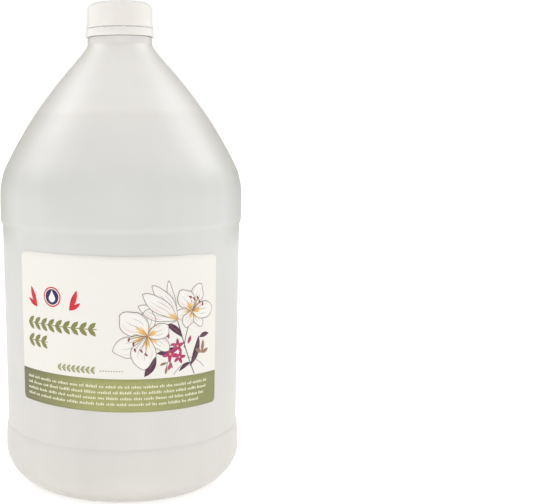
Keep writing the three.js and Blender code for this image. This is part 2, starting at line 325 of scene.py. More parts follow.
def srgb(red, green, blue):
    """A colour given in the 0 to 255 values of a screen, as linear RGBA."""
    shares = [c / 255 for c in (red, green, blue)]
    linear = [c / 12.92 if c <= 0.04045 else ((c + 0.055) / 1.055) ** 2.4 for c in shares]
    return (*linear, 1)


def add_node(tree, kind, inputs=None, **settings):
    """A node in a tree, with its settings and with values or links for its inputs."""
    made = tree.nodes.new(kind)
    for key, value in settings.items():
        setattr(made, key, value)
    for key, value in (inputs or {}).items():
        if isinstance(value, bpy.types.NodeSocket):
            tree.links.new(value, made.inputs[key])
        else:
            made.inputs[key].default_value = value
    return made


class Finish:
    """A material whose node tree is built with short calls."""

    def __init__(self, name):
        self.material = bpy.data.materials.new(name)
        self.material.use_nodes = True
        self.tree = self.material.node_tree
        self.tree.nodes.clear()
        self.place = self.node("ShaderNodeTexCoord").outputs["Object"]

    def node(self, kind, inputs=None, **settings):
        return add_node(self.tree, kind, inputs, **settings)

    def stretched(self, x, y, z):
        """Object coordinates scaled along each axis."""
        return self.node("ShaderNodeMapping", {"Vector": self.place, "Scale": (x, y, z)}).outputs["Vector"]

    def noise(self, scale, detail=3, vector=None):
        inputs = {"Vector": vector or self.place, "Scale": scale, "Detail": detail}
        return self.node("ShaderNodeTexNoise", inputs).outputs["Fac"]

    def cells(self, scale):
        inputs = {"Vector": self.place, "Scale": scale}
        return self.node("ShaderNodeTexVoronoi", inputs).outputs["Distance"]

    def along(self, axis, vector=None):
        """One coordinate of a vector, or of the place."""
        return self.node("ShaderNodeSeparateXYZ", {"Vector": vector or self.place}).outputs[axis]

    def between(self, value, low, high, start=0.0, end=1.0):
        """A value moved from the range start to end into the range low to high."""
        inputs = {"Value": value, "From Min": start, "From Max": end, "To Min": low, "To Max": high}
        return self.node("ShaderNodeMapRange", inputs).outputs["Result"]

    def blend(self, share, first, second, kind="MIX"):
        """Two colours mixed by a share."""
        inputs = {0: share, 6: first, 7: second}
        return self.node("ShaderNodeMix", inputs, data_type="RGBA", blend_type=kind).outputs[2]

    def product(self, first, second):
        return self.node("ShaderNodeMath", {0: first, 1: second}, operation="MULTIPLY").outputs[0]

    def edge_on(self, start, end):
        """Nothing where the surface faces the eye, growing to one where it turns away, at a silhouette."""
        facing = self.node("ShaderNodeLayerWeight", {"Blend": 0.5}).outputs["Facing"]
        return self.between(facing, 0, 1, start, end)

    def bump(self, height, distance, normal=None):
        """Surface relief of so many millimetres from a height between 0 and 1."""
        inputs = {"Height": height, "Distance": distance * MM, "Strength": 1.0}
        if normal:
            inputs["Normal"] = normal
        return self.node("ShaderNodeBump", inputs).outputs["Normal"]

    def surface(self, **inputs):
        """The principled shader, by input names with _ for spaces."""
        named = {key.replace("_", " "): value for key, value in inputs.items()}
        return self.node("ShaderNodeBsdfPrincipled", named).outputs["BSDF"]

    def done(self, shader):
        self.node("ShaderNodeOutputMaterial", {"Surface": shader})
        return self.material


def milky_plastic():
    """Blow-moulded natural polyethylene: satin, slightly see-through, palest over the oil level, coolest
    half way up and warmer towards the foot. A paler band up the shoulder just under the oil level is
    painted light from overhead, and the darker silhouette over the panel is painted shade."""
    finish = Finish("milky_plastic")
    height = finish.along("Z")
    wander = finish.between(finish.noise(9, 1), -0.0006, 0.0006)
    level = finish.node("ShaderNodeMath", {0: height, 1: wander}, operation="ADD").outputs[0]
    over = finish.between(level, 0, 1, (FILL_Z - 1.5) * MM, (FILL_Z + 1.5) * MM)
    low_down = finish.between(height, 1, 0, 0.02, 0.16)
    # Paler, warmer band up the shoulder just under the oil level: painted light from overhead on its slope.
    shoulder_painted_light = finish.between(height, 0, 1, 0.19, 0.228)
    filled = finish.blend(low_down, srgb(223, 223, 220), srgb(228, 224, 217))
    filled = finish.blend(shoulder_painted_light, filled, srgb(229, 226, 221))
    colour = finish.blend(over, filled, srgb(235, 232, 227))
    clouds = finish.between(finish.noise(16, 4), 0.93, 1.0, 0.3, 0.75)
    streaks = finish.between(finish.noise(60, 2, finish.stretched(1, 1, 0.04)), 0.975, 1.0, 0.3, 0.7)
    toned = finish.blend(1.0, colour, clouds, "MULTIPLY")
    toned = finish.blend(1.0, toned, streaks, "MULTIPLY")
    # Painted shade: the silhouette is darkened by a grey tint, fully above the panel and faintly on it.
    rim_shade_by_height = finish.between(height, 0.15, 1, 0.148, 0.16)
    rim = finish.product(finish.edge_on(0.5, 0.9), rim_shade_by_height)
    toned = finish.blend(rim, toned, srgb(208, 207, 199), "MULTIPLY")
    waves = finish.bump(finish.noise(22, 2), 0.5)
    peel = finish.bump(finish.noise(420, 2), 0.012, waves)
    shader = finish.surface(
        Base_Color=toned,
        Roughness=finish.between(finish.noise(35, 4), 0.38, 0.46, 0.3, 0.7),
        IOR=1.5,
        Specular_IOR_Level=0.95,
        Subsurface_Weight=0.25,
        Subsurface_Radius=(1.0, 1.0, 0.95),
        Subsurface_Scale=3 * MM,
        Alpha=0.88,
        Normal=peel,
    )
    return finish.done(shader)


def oil():
    """Pale straw-coloured vegetable oil."""
    finish = Finish("oil")
    depth = finish.between(finish.noise(14, 2), 0, 1, 0.35, 0.65)
    colour = finish.blend(depth, srgb(226, 224, 206), srgb(222, 219, 198))
    shader = finish.surface(Base_Color=colour, Roughness=0.08, IOR=1.47)
    return finish.done(shader)


def cap_plastic():
    """Injection-moulded white polypropylene, satin, with faint flow marks, and with painted shade on top
    and where it turns away from the eye."""
    finish = Finish("cap_plastic")
    flow = finish.noise(70, 3, finish.stretched(1, 1, 0.3))
    colour = finish.blend(finish.between(flow, 0, 1, 0.3, 0.7), srgb(230, 226, 219), srgb(232, 229, 224))
    # Painted shade: faces that point up are darkened.
    normal = finish.node("ShaderNodeNewGeometry").outputs["Normal"]
    upward = finish.along("Z", normal)
    colour = finish.blend(finish.between(upward, 0, 1, 0.2, 0.9), colour, srgb(238, 239, 240), "MULTIPLY")
    # Painted shade where the surface turns away from the eye, at its silhouette.
    colour = finish.blend(finish.edge_on(0.6, 0.95), colour, srgb(226, 228, 231), "MULTIPLY")
    grain = finish.bump(finish.noise(1500, 2), 0.008)
    shader = finish.surface(
        Base_Color=colour,
        Roughness=finish.between(finish.noise(90, 3), 0.5, 0.6, 0.3, 0.7),
        IOR=1.49,
        Specular_IOR_Level=0.3,
        Subsurface_Weight=0.8,
        Subsurface_Radius=(1.0, 1.0, 0.9),
        Subsurface_Scale=1.5 * MM,
        Normal=grain,
    )
    return finish.done(shader)


def label_film():
    """Cream coated label paper with a faint fibre."""
    finish = Finish("label_film")
    fibre = finish.noise(900, 4)
    colour = finish.blend(finish.between(fibre, 0, 1, 0.35, 0.65), srgb(230, 227, 219), srgb(232, 229, 222))
    shader = finish.surface(
        Base_Color=colour,
        Roughness=finish.between(fibre, 0.42, 0.5, 0.3, 0.7),
        Specular_IOR_Level=0.35,
        Normal=finish.bump(fibre, 0.01),
    )
    return finish.done(shader)


def printed_surface(finish, colour, grain):
    """Dry ink of a colour, whose gloss follows a grain."""
    shader = finish.surface(
        Base_Color=colour,
        Roughness=finish.between(grain, 0.4, 0.5, 0.3, 0.7),
        Specular_IOR_Level=0.35,
        Normal=finish.bump(finish.noise(900, 3), 0.006),
    )
    return finish.done(shader)


def ink(name, colour, second=None, scale=300):
    """Printed ink that varies between two colours, or a little round one."""
    finish = Finish(name)
    other = second or tuple(min(1, c * 1.12) for c in colour[:3]) + (1,)
    grain = finish.noise(scale, 3)
    mixed = finish.blend(finish.between(grain, 0, 1, 0.35, 0.65), colour, other)
    return printed_surface(finish, mixed, grain)


def band_ink():
    """Olive ink of the colour band, deeper towards the label's ends."""
    finish = Finish("ink_band")
    sideways = finish.along("X")
    grain = finish.noise(500, 3)
    middle = finish.blend(finish.between(grain, 0, 1, 0.35, 0.65), srgb(160, 161, 104), srgb(155, 157, 100))
    to_right = finish.between(sideways, 0, 1, 0.012, 0.058)
    to_left = finish.between(sideways, 0, 1, -0.018, -0.058)
    colour = finish.blend(to_right, middle, srgb(134, 136, 90))
    colour = finish.blend(to_left, colour, srgb(116, 114, 80))
    return printed_surface(finish, colour, grain)


def foil():
    """Induction-sealed aluminium foil, softly crinkled."""
    finish = Finish("foil")
    crinkle = finish.cells(260)
    soft = finish.bump(finish.noise(220, 3), 0.12)
    shader = finish.surface(
        Base_Color=finish.blend(finish.noise(80, 3), srgb(205, 207, 210), srgb(222, 223, 225)),
        Metallic=1.0,
        Roughness=finish.between(finish.noise(300, 3), 0.25, 0.4, 0.3, 0.7),
        Normal=finish.bump(crinkle, 0.05, soft),
    )
    return finish.done(shader)


def liner_foam():
    """Closed-cell polyethylene foam with a fine pore."""
    finish = Finish("liner_foam")
    pores = finish.cells(1400)
    colour = finish.blend(finish.between(pores, 0, 1, 0.1, 0.6), srgb(226, 224, 216), srgb(244, 243, 238))
    shader = finish.surface(Base_Color=colour, Roughness=0.75, Normal=finish.bump(pores, 0.06))
    return finish.done(shader)


MILKY = milky_plastic()
OIL = oil()
CAP_PLASTIC = cap_plastic()
LABEL_FILM = label_film()
FOIL = foil()
LINER_FOAM = liner_foam()


def finish_piece(piece, body, slot, *nodes):
    """The piece rides on a body and stands for CAD nodes, which are hidden. The slot is not used."""
    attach(piece, body)
    if nodes:
        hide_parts(*nodes)
    return piece


# ---------------------------------------------------------------- jug and oil


def wall_outline():
    """Outside of the blown wall, from the middle of the base up to the foot of the neck."""
    points = bezier((0, PUSH_UP), *PUSH_UP_BENDS, (RING_INNER_R, 0), steps=PUSH_UP_STEPS)
    points += bezier((RING_OUTER_R, 0), *HEEL_BENDS, (BUMPER_R, BUMPER_Z), steps=26)
    points += bezier((BUMPER_R, BUMPER_Z), BUMPER_BEND, BUMPER_END, steps=8)
    points += bezier(BUMPER_END, PANEL_FOOT_BEND, (PANEL_BOTTOM_R, PANEL_BOTTOM_Z), steps=6)
    low, high = (PANEL_TOP_R, PANEL_TOP_Z), (BODY_R, STEP_TOP_Z)
    points += bezier(low, (PANEL_TOP_R, STEP_MIDDLE_Z), (BODY_R, STEP_MIDDLE_Z), high, steps=10)
    points += bezier((BODY_R, SHOULDER_Z), SHOULDER_TOP_BEND, SHOULDER_BREAK, steps=12)
    points += bezier(SHOULDER_BREAK, SHOULDER_BEND, SHOULDER_END, steps=22)
    return points


def neck_outline():
    """Outside of the neck: collar, land, bead, threaded wall and rim."""
    meets = SHOULDER_END[1] + (SHOULDER_END[0] - COLLAR_R) / SHOULDER_END_SLOPE
    points = bezier(SHOULDER_END, (COLLAR_R, meets), (COLLAR_R, COLLAR_BOTTOM_Z), steps=16)
    return points + [
        (COLLAR_R, BAND_BOTTOM_Z - COLLAR_GAP),
        (LAND_R, BAND_BOTTOM_Z - COLLAR_GAP),
        (LAND_R, BEAD_UNDER_Z - NECK_EDGE),
        (BEAD_R, BEAD_UNDER_Z),
        (BEAD_R, BEAD_TOP_Z),
        (NECK_R, NECK_BOTTOM_Z),
        (NECK_R, RIM_Z),
    ]


def bore_outline(shoulder_inside):
    """The bore, from the rim down to the inside of the shoulder."""
    radius, z = shoulder_inside
    meets = z + (radius - BORE_R) / SHOULDER_END_SLOPE
    foot = bezier((BORE_R, meets + BORE_ROUNDING), (BORE_R, meets), shoulder_inside, steps=12)
    return [(BORE_R, RIM_Z)] + foot


def on_neck_thread(before, here):
    """Whether a stretch of the outline is part of the threaded wall."""
    return min(before[1], here[1]) > NECK_BOTTOM_Z - 1 and min(before[0], here[0]) > NECK_R - 0.1


def jug_bearings():
    """Even columns, with fine ones where the mould's parting line runs up both sides."""
    beside = np.array([-1, -0.5, 0, 0.5, 1]) * SEAM_HALF_ANGLE
    seams = np.concatenate([side * math.pi / 2 + beside for side in (1, 3)])
    even = [b for b in even_bearings() if np.min(np.abs(seams - b)) > 2 * SEAM_HALF_ANGLE]
    return np.sort(np.concatenate([even, seams]))


def jug_wall():
    """Blown wall with its neck, thread and parting line."""
    outside = distinct(wall_outline())
    inside = inset(outside, WALL)[::-1]
    outline = soften(outside + neck_outline() + bore_outline(inside[0]) + inside[1:], WALL_EDGE)
    outline = split(outline, longest=3.2, fine=0.22, is_fine=on_neck_thread)
    outer_rows = [z > RIM_Z - 0.01 for _, z in outline].index(True)

    def relief(bearing, radius, z, row):
        outward = row < outer_rows
        from_seam = np.abs((bearing % math.pi) - math.pi / 2)
        seam = SEAM_HEIGHT * np.clip(1 - from_seam / SEAM_HALF_ANGLE, 0, 1)
        seam *= outward & (z > 1) & (z < COLLAR_BOTTOM_Z + 3)
        ridge = thread_relief(bearing, z, THREAD_START_Z, 0, THREAD_TURNS)
        on_neck = outward & (z > NECK_BOTTOM_Z) & (z < RIM_Z - 0.5)
        return seam + ridge * on_neck, 0 * z

    return lathe("jug_wall", outline, MILKY, jug_bearings(), relief)


def base_pinch_line():
    """Low weld ridge that the mould's pinch-off leaves across the base, sunk in the push-up."""
    half_length, half_width, proud, sunk = 38, 0.5, 0.4, 0.3
    under = wall_outline()[: PUSH_UP_STEPS + 1]
    x = np.linspace(-half_length, half_length, 61)
    ridge = np.interp(np.abs(x), [p[0] for p in under], [p[1] for p in under])
    fade = np.clip((half_length - np.abs(x)) / 4, 0.05, 1)
    y = np.array([-1, -0.4, 0.4, 1]) * half_width
    low = np.array([0.0, 1, 1, 0])
    grid_x, grid_y = np.meshgrid(x, y, indexing="ij")
    outer = np.stack([grid_x, grid_y, ridge[:, None] - proud * fade[:, None] * low + 0.02], axis=-1)
    inner = np.stack([grid_x, grid_y, ridge[:, None] + sunk + 0 * grid_y], axis=-1)
    return make_object("base_pinch_line", *closed_sheet(outer, inner), MILKY)


def oil_body():
    """Oil from the base up to the fill line, with its edge drawn up the wall."""
    side = inset(distinct(wall_outline()), WALL + OIL_GAP)
    below = [p for p in side if p[1] < FILL_Z]
    over_base = [p for p in side if p[1] > BUMPER_Z]
    edge_r = float(np.interp(FILL_Z, [z for _, z in over_base], [radius for radius, _ in over_base]))
    level = FILL_Z - MENISCUS_DROP
    top = bezier((edge_r, FILL_Z), (edge_r - 0.5, level), (edge_r - MENISCUS_REACH, level), steps=8)
    return lathe("oil_body", split(below + top + [(0, level)], 6), OIL, even_bearings(96))


# ---------------------------------------------------------------- label and its print

LABEL_MIDDLE_Z = (LABEL_BOTTOM_Z + LABEL_TOP_Z) / 2
LABEL_HEIGHT = LABEL_TOP_Z - LABEL_BOTTOM_Z
LABEL_U = (LABEL_LEFT * LABEL_ARC_R, LABEL_RIGHT * LABEL_ARC_R)
BAND_TOP_V = -26


def on_label(u, v, lift):
    """Points on the panel at the label's (u, v), lifted off the wall by some millimetres."""
    bow = np.interp(v, (-LABEL_HEIGHT / 2, LABEL_HEIGHT / 2), (LABEL_BOW_LOW, LABEL_BOW_HIGH))
    z = LABEL_MIDDLE_Z + v - math.tan(LABEL_TILT) * u + bow * (u / LABEL_U[0]) ** 2
    rise = (z - PANEL_BOTTOM_Z) / (PANEL_TOP_Z - PANEL_BOTTOM_Z)
    radius = PANEL_BOTTOM_R + (PANEL_TOP_R - PANEL_BOTTOM_R) * rise + lift
    return polar(radius, u / LABEL_ARC_R, z)


def label_reach(u):
    """Half the label's height at u, less where its corners are rounded."""
    from_end = np.minimum(u - LABEL_U[0], LABEL_U[1] - u)
    into_corner = np.clip(LABEL_CORNER_R - from_end, 0, LABEL_CORNER_R)
    return LABEL_HEIGHT / 2 - LABEL_CORNER_R + np.sqrt(LABEL_CORNER_R**2 - into_corner**2)


def label_columns():
    corner = [LABEL_CORNER_R * (1 - math.cos(math.radians(15 * k))) for k in range(7)]
    left = [LABEL_U[0] + c for c in corner]
    right = [LABEL_U[1] - c for c in reversed(corner)]
    return np.array(left + list(np.linspace(left[-1], right[0], 72))[1:-1] + right)


def label_sheet():
    u = label_columns()
    share = np.linspace(-1, 1, 31)
    grid_u = np.repeat(u[None, :], len(share), axis=0)
    grid_v = share[:, None] * label_reach(u)[None, :]
    low, high = LABEL_LIFT
    vertices, faces = closed_sheet(on_label(grid_u, grid_v, high), on_label(grid_u, grid_v, low))
    return make_object("label_sheet", vertices, faces, LABEL_FILM)


def across(path):
    """Unit vectors square to a row of (u, v) points, to their left."""
    along = np.gradient(path, axis=0)
    along /= np.linalg.norm(along, axis=1)[:, None]
    return np.stack([-along[:, 1], along[:, 0]], axis=1)


class Ink:
    """Thin closed patches in one ink, printed on the label and gathered into one piece."""

    def __init__(self, name, material):
        self.name = name
        self.material = material
        self.vertices = []
        self.faces = []

    def patch(self, u, v, layer):
        """A patch over a grid of (u, v) points. A higher layer covers a lower one."""
        top = LABEL_LIFT[1] + INK_LAYER * (layer + 1)
        vertices, faces = closed_sheet(on_label(u, v, top), on_label(u, v, INK_BOTTOM))
        start = sum(len(part) for part in self.vertices)
        self.vertices.append(vertices)
        self.faces += [tuple(start + k for k in face) for face in faces]

    def ribbon(self, path, half_width, layer):
        """A band along a row of (u, v) points, with a half width at each."""
        path = np.array(path, float)
        side = across(path)
        widths = np.maximum(np.broadcast_to(half_width, len(path)), 0.02)
        lanes = np.linspace(-1, 1, 2 + int(max(widths) / 0.8))
        grid = path[:, None, :] + side[:, None, :] * widths[:, None, None] * lanes[None, :, None]
        self.patch(grid[..., 0], grid[..., 1], layer)

    def block(self, u, v, width, height, layer):
        """An upright block with its lower left corner at (u, v)."""
        grid_u, grid_v = np.meshgrid(np.linspace(u, u + width, 2 + int(width / 1.5)), [v, v + height])
        self.patch(grid_u, grid_v, layer)

    def ellipse(self, centre, half_width, half_height, layer, turn=0.0):
        """A filled ellipse, as a grid that is pinched at both ends."""
        share = np.linspace(0, math.pi, 13)
        along = -np.cos(share) * half_width
        reach = np.maximum(np.sin(share), 0.02) * half_height
        beside = np.linspace(-1, 1, 5)[:, None] * reach[None, :]
        along = np.repeat(along[None, :], 5, axis=0)
        u = centre[0] + along * math.cos(turn) - beside * math.sin(turn)
        v = centre[1] + along * math.sin(turn) + beside * math.cos(turn)
        self.patch(u, v, layer)

    def done(self):
        return make_object(self.name, np.vstack(self.vertices), self.faces, self.material)


def polar_step(start, angle, length):
    """The point at a length from a start, at an angle in degrees from the label's +u."""
    turn = math.radians(angle)
    return (start[0] + length * math.cos(turn), start[1] + length * math.sin(turn))


def arc_path(start, angle, length, bend, steps=18):
    """A curve of a given length that leaves start at an angle and bends by some degrees on its way."""
    middle = polar_step(start, angle - bend / 2, length / 2)
    return bezier(start, middle, polar_step(start, angle, length), steps=steps)


def leaf_width(share, width):
    """Half width along a leaf: narrow at its foot, widest past the middle, pointed at its tip."""
    return width * np.sin(math.pi * share**1.15) ** 0.85 * (1 - 0.25 * share) + 0.03


def petal_sides(path, width, phase):
    """The middle line and half widths of a petal with a broad end and gently waved sides."""
    share = np.linspace(0, 1, len(path))
    plain = width * np.sin(math.pi * share**1.2) ** 0.7
    left = plain * (1 + 0.1 * np.sin(8 * share + phase)) + 0.05
    right = plain * (1 + 0.1 * np.sin(9 * share + 2 * phase)) + 0.05
    return path + across(path) * ((left - right) / 2)[:, None], (left + right) / 2


INKS = {
    "print_band": band_ink(),
    "print_heading": ink("ink_olive", srgb(128, 128, 74)),
    "print_caption": ink("ink_soft_olive", srgb(158, 158, 116)),
    "print_fine_lines": ink("ink_cream", srgb(226, 226, 196)),
    "print_emblem_red": ink("ink_red", srgb(205, 38, 52)),
    "print_emblem_plum": ink("ink_violet", srgb(58, 32, 88)),
    "print_emblem_drop": ink("ink_paper", srgb(246, 243, 240)),
    "print_petals": ink("ink_petal", srgb(236, 233, 228), srgb(232, 228, 222), 160),
    "print_outlines": ink("ink_line", srgb(132, 118, 110)),
    "print_blush": ink("ink_blush", srgb(235, 205, 200), srgb(240, 218, 210)),
    "print_glow": ink("ink_glow", srgb(236, 178, 96), srgb(242, 198, 126), 400),
    "print_anthers": ink("ink_anther", srgb(140, 58, 56)),
    "print_stems": ink("ink_stem", srgb(92, 78, 74)),
    "print_plum_leaves": ink("ink_plum", srgb(70, 32, 60), srgb(96, 56, 74), 220),
    "print_tan_leaves": ink("ink_tan", srgb(140, 112, 84), srgb(160, 132, 100), 260),
    "print_blossoms": ink("ink_magenta", srgb(158, 40, 92), srgb(190, 70, 116), 420),
}
PRINT = {name: Ink(name, material) for name, material in INKS.items()}


def petal(start, angle, length, width, bend, layer):
    """A white petal with waved sides, an outline, two veins and a flush of colour along one side."""
    straight = np.array(arc_path(start, angle, length, bend, steps=21))
    path, widths = petal_sides(straight, width, math.radians(angle))
    PRINT["print_petals"].ribbon(path, widths, layer)
    side = across(path) * widths[:, None]
    edge = np.vstack([path + side, (path - side)[::-1]])
    PRINT["print_outlines"].ribbon(edge, 0.17, layer + 1)
    for share, first, last in ((0.12, 4, 17), (-0.42, 6, 15)):
        vein = (path + side * share)[first:last]
        PRINT["print_outlines"].ribbon(vein, 0.11 * np.sin(np.linspace(0.3, 2.9, len(vein))), layer + 1)
    flush = (path + side * 0.66)[7:18]
    PRINT["print_blush"].ribbon(flush, 0.42 * np.sin(np.linspace(0, math.pi, len(flush))), layer + 1)


def glow(start, angle, length, layer):
    """Flame-shaped streaks of colour that run out of a flower's throat, with a fine line in each."""
    for offset, reach, width in ((-17, 0.8, 0.6), (0, 1.0, 0.9), (16, 0.85, 0.6)):
        path = arc_path(start, angle + offset, length * reach, offset * 0.6, steps=8)
        share = np.linspace(0, 1, len(path))
        PRINT["print_glow"].ribbon(path, width * np.sin(math.pi * (0.15 + 0.85 * share)) ** 0.7, layer)
        PRINT["print_outlines"].ribbon(path[:6], 0.07, layer + 1)


def stamens(start, angle, length, count, spread, layer):
    """Thin filaments that fan out of the throat, each with an anther across its end."""
    for k in range(count):
        lean = angle + spread * (k / (count - 1) - 0.5)
        reach = length * (1 - 0.14 * (k % 2))
        path = arc_path(start, lean, reach, 18, steps=8)
        PRINT["print_outlines"].ribbon(path, 0.12, layer)
        PRINT["print_anthers"].ellipse(path[-1], 1.25, 0.5, layer + 1, math.radians(lean + 62))


def lily(centre, reach, turn, lean, stamen_angle):
    """An open lily. Petals on the side it leans to are longer, and the others are foreshortened."""
    order = (3, 5, 1, 4, 0, 2)
    for depth, k in enumerate(order):
        angle = turn + 60 * k
        length = reach * (1 + 0.24 * math.cos(math.radians(angle - lean)))
        petal(centre, angle, length, length * (0.35 - 0.08 * (k % 2)), 26 - 52 * (k % 2), 2 + 3 * depth)
        glow(centre, angle, length * 0.45, 4 + 3 * depth)
    stamens(centre, stamen_angle, reach * 0.62, 5, 74, 22)


def trumpet(foot, angle, length):
    """A lily seen from the side, with its petals closed into a funnel, and a bud beside it."""
    fan = ((28, 0.9, 0.13, -20), (-18, 1.0, 0.14, 26), (14, 0.98, 0.15, -12), (-2, 1.02, 0.17, 8))
    for depth, (offset, share, width, bend) in enumerate(fan):
        petal(foot, angle + offset, length * share, length * width, bend, 2 + 3 * depth)
    petal(foot, angle - 42, length * 0.92, length * 0.08, -16, 2)
    glow(foot, angle, length * 0.28, 15)


def leaf(name, start, angle, length, width, bend, layer=1):
    """A pointed leaf with a fine rib."""
    path = np.array(arc_path(start, angle, length, bend, steps=14))
    PRINT[name].ribbon(path, leaf_width(np.linspace(0, 1, len(path)), width), layer)
    PRINT["print_outlines"].ribbon(path[1:12], 0.09 * np.sin(np.linspace(0.3, 3.0, 11)), layer + 1)


def blossom(centre, size, turn):
    """A small five-petalled flower."""
    for k in range(5):
        path = arc_path(centre, turn + 72 * k, size, 14, steps=6)
        widths = size * 0.24 * np.sin(math.pi * np.linspace(0.12, 0.95, len(path))) ** 0.7
        PRINT["print_blossoms"].ribbon(path, widths, 3 + k % 2)
    PRINT["print_glow"].ellipse(centre, size * 0.14, size * 0.14, 6)


def stem(*corners, width):
    PRINT["print_stems"].ribbon(bezier(*corners, steps=18), width, 0)


def flower_spray():
    """Two open lilies, one seen from the side, small blossoms and leaves on bending stems."""
    stem((33.5, 7.5), (36.5, -2), (40, -14), (45.5, -25.5), width=0.3)
    stem((43.5, 9), (39, 1), (38, -9), width=0.26)
    stem((17, -3), (25, -9), (37, -6), width=0.24)
    stem((33, -7), (28, -13), (26, -21), width=0.16)
    stem((41, -15), (47, -16), (53, -22), width=0.14)
    stem((41.5, -18), (36, -18), (31, -24.5), width=0.16)
    lily((15, -0.5), 18, 24, 205, 228)
    lily((43.5, 12.5), 13.8, 6, 60, 62)
    trumpet((33.5, 8), 146, 26)
    leaf("print_plum_leaves", (37, -3), 142, 15, 2.2, 40)
    leaf("print_plum_leaves", (35, -8), 192, 15, 2.5, -30)
    leaf("print_plum_leaves", (42, -20.5), 70, 19, 2.4, 40)
    leaf("print_plum_leaves", (49, -4), 12, 8, 1.7, -34)
    leaf("print_plum_leaves", (20, -12.5), 240, 14, 2.9, -18)
    leaf("print_plum_leaves", (43, -18.5), 208, 9.5, 1.3, 46)
    for angle, length in ((82, 8), (150, 5.6), (22, 5.8)):
        leaf("print_tan_leaves", (51, -13.5), angle, length, 1.4, 16)
    for start, angle in (((27, -17), 196), ((27, -19), 258), ((28.5, -16), 292)):
        leaf("print_tan_leaves", start, angle, 5, 0.9, 14)
    for centre, size, turn in (((33.5, -7.5), 4.4, 20), ((28.8, -12), 4.8, 50), ((34.8, -14.2), 4.2, 5)):
        blossom(centre, size, turn)
    for start, angle, length in (((29.5, -17), 250, 5), ((40.5, -7), 66, 5.4), ((28, -3), 112, 5.5)):
        leaf("print_blossoms", start, angle, length, 1.2, 10, layer=2)


def greeked_word(u, v, letters, seed):
    """A word stood for by upright blocks of uneven height. Gives the u where it ends."""
    draw = random.Random(seed)
    height, pitch = 1.75, 1.02
    for _ in range(letters):
        tall = height * draw.choice((0.68, 0.72, 1.0))
        PRINT["print_fine_lines"].block(u, v, pitch * 0.62, tall, 1)
        u += pitch
    return u


def fine_lines():
    """Four lines of small print in the band, as rows of tiny blocks in word lengths."""
    draw = random.Random(7)
    start, first_drop, line_pitch, word_gap = -63.5, 5.4, 3.45, 0.9
    for row, end in enumerate((53.5, 53.5, 53.5, 48)):
        u, v = start, BAND_TOP_V - first_drop - line_pitch * row
        while u < end:
            u = greeked_word(u, v, letters=draw.randint(3, 9), seed=draw.randint(0, 999)) + word_gap


def laurel(name, u, v, length, height):
    """A branch of paired leaves that fills a line's place."""
    count = round(length / (height * 0.72))
    step = length / count
    PRINT[name].ribbon(bezier((u, v + height / 2), (u + length, v + height / 2)), height * 0.035, 1)
    for k in range(count):
        foot = (u + step * k, v + height / 2)
        for angle in (40, -40):
            path = arc_path(foot, angle, height * 0.82, angle * 0.5, steps=10)
            share = np.linspace(0, 1, len(path))
            PRINT[name].ribbon(path, leaf_width(share, height * 0.2), 2)


def beads(name, u, v, count, step):
    """A row of small round dots."""
    for k in range(count):
        PRINT[name].ellipse((u + k * step, v), 0.42, 0.42, 1)


def emblem():
    """A drop in a roundel, with a leaf on each side."""
    centre, radius = (-42.6, 19.9), 6
    PRINT["print_emblem_red"].ellipse(centre, radius, radius, 1)
    PRINT["print_emblem_drop"].ellipse(centre, radius * 0.86, radius * 0.86, 2)
    PRINT["print_emblem_plum"].ellipse(centre, radius * 0.78, radius * 0.78, 3)
    top, bottom = (centre[0], centre[1] + 4.2), (centre[0], centre[1] - 3.3)
    share = np.linspace(0, 1, 15)
    widths = 2.3 * np.sin(math.pi * share**1.9) ** 0.75
    PRINT["print_emblem_drop"].ribbon(bezier(top, bottom, steps=14), widths, 4)
    for side, angle in ((-1, 112), (1, 68)):
        for length, lean, width in ((13, 0, 1.9), (8.5, 34 * -side, 1.4)):
            foot = (centre[0] + side * 11.5, centre[1] - 7)
            path = arc_path(foot, angle + lean, length, 12 * side, steps=14)
            widths = leaf_width(np.linspace(0, 1, len(path)), width)
            PRINT["print_emblem_red"].ribbon(path, widths, 1)


def colour_band():
    """Band of olive green across the foot of the label."""
    u = label_columns()
    share = np.linspace(0, 1, 9)
    bottom, top = -label_reach(u), BAND_TOP_V + 0 * u
    grid_v = bottom[None, :] * (1 - share[:, None]) + top[None, :] * share[:, None]
    PRINT["print_band"].patch(np.repeat(u[None, :], len(share), axis=0), grid_v, 0)


def printed_art():
    colour_band()
    fine_lines()
    emblem()
    laurel("print_heading", -62, -1, 47.5, 7.6)
    laurel("print_heading", -62, -11.6, 15.5, 7.6)
    laurel("print_caption", -39.5, -23.4, 24, 4.2)
    beads("print_caption", -12.5, -21.4, 9, 1.6)
    flower_spray()
    return [layer.done() for layer in PRINT.values()]


# ---------------------------------------------------------------- closure


def swell(away, height, width):
    """A smooth rise of a height where away is nothing, gone at about twice the width from there."""
    return height * np.exp(-((away / width) ** 2))


def disc_outline(radius, bottom, top, cut):
    return split(soften([(0, bottom), (radius, bottom), (radius, top), (0, top)], cut), 3)


def foil_disc():
    """Foil bonded to the rim, with the ring that the sealing head pressed into it."""

    def relief(bearing, radius, z, row):
        return 0 * z, -swell(radius - SEAL_RING_R, SEAL_RING_DEPTH, SEAL_RING_WIDTH)

    outline = disc_outline(FOIL_R, RIM_Z + 0.02, FOIL_TOP_Z, 0.05)
    return lathe("foil_disc", split(outline, 0.7), FOIL, even_bearings(96), relief)


def liner_disc():
    outline = disc_outline(LINER_R, LINER_BOTTOM_Z, CAP_UNDERSIDE_Z - 0.02, 0.15)
    return lathe("liner_disc", outline, LINER_FOAM, even_bearings(96))


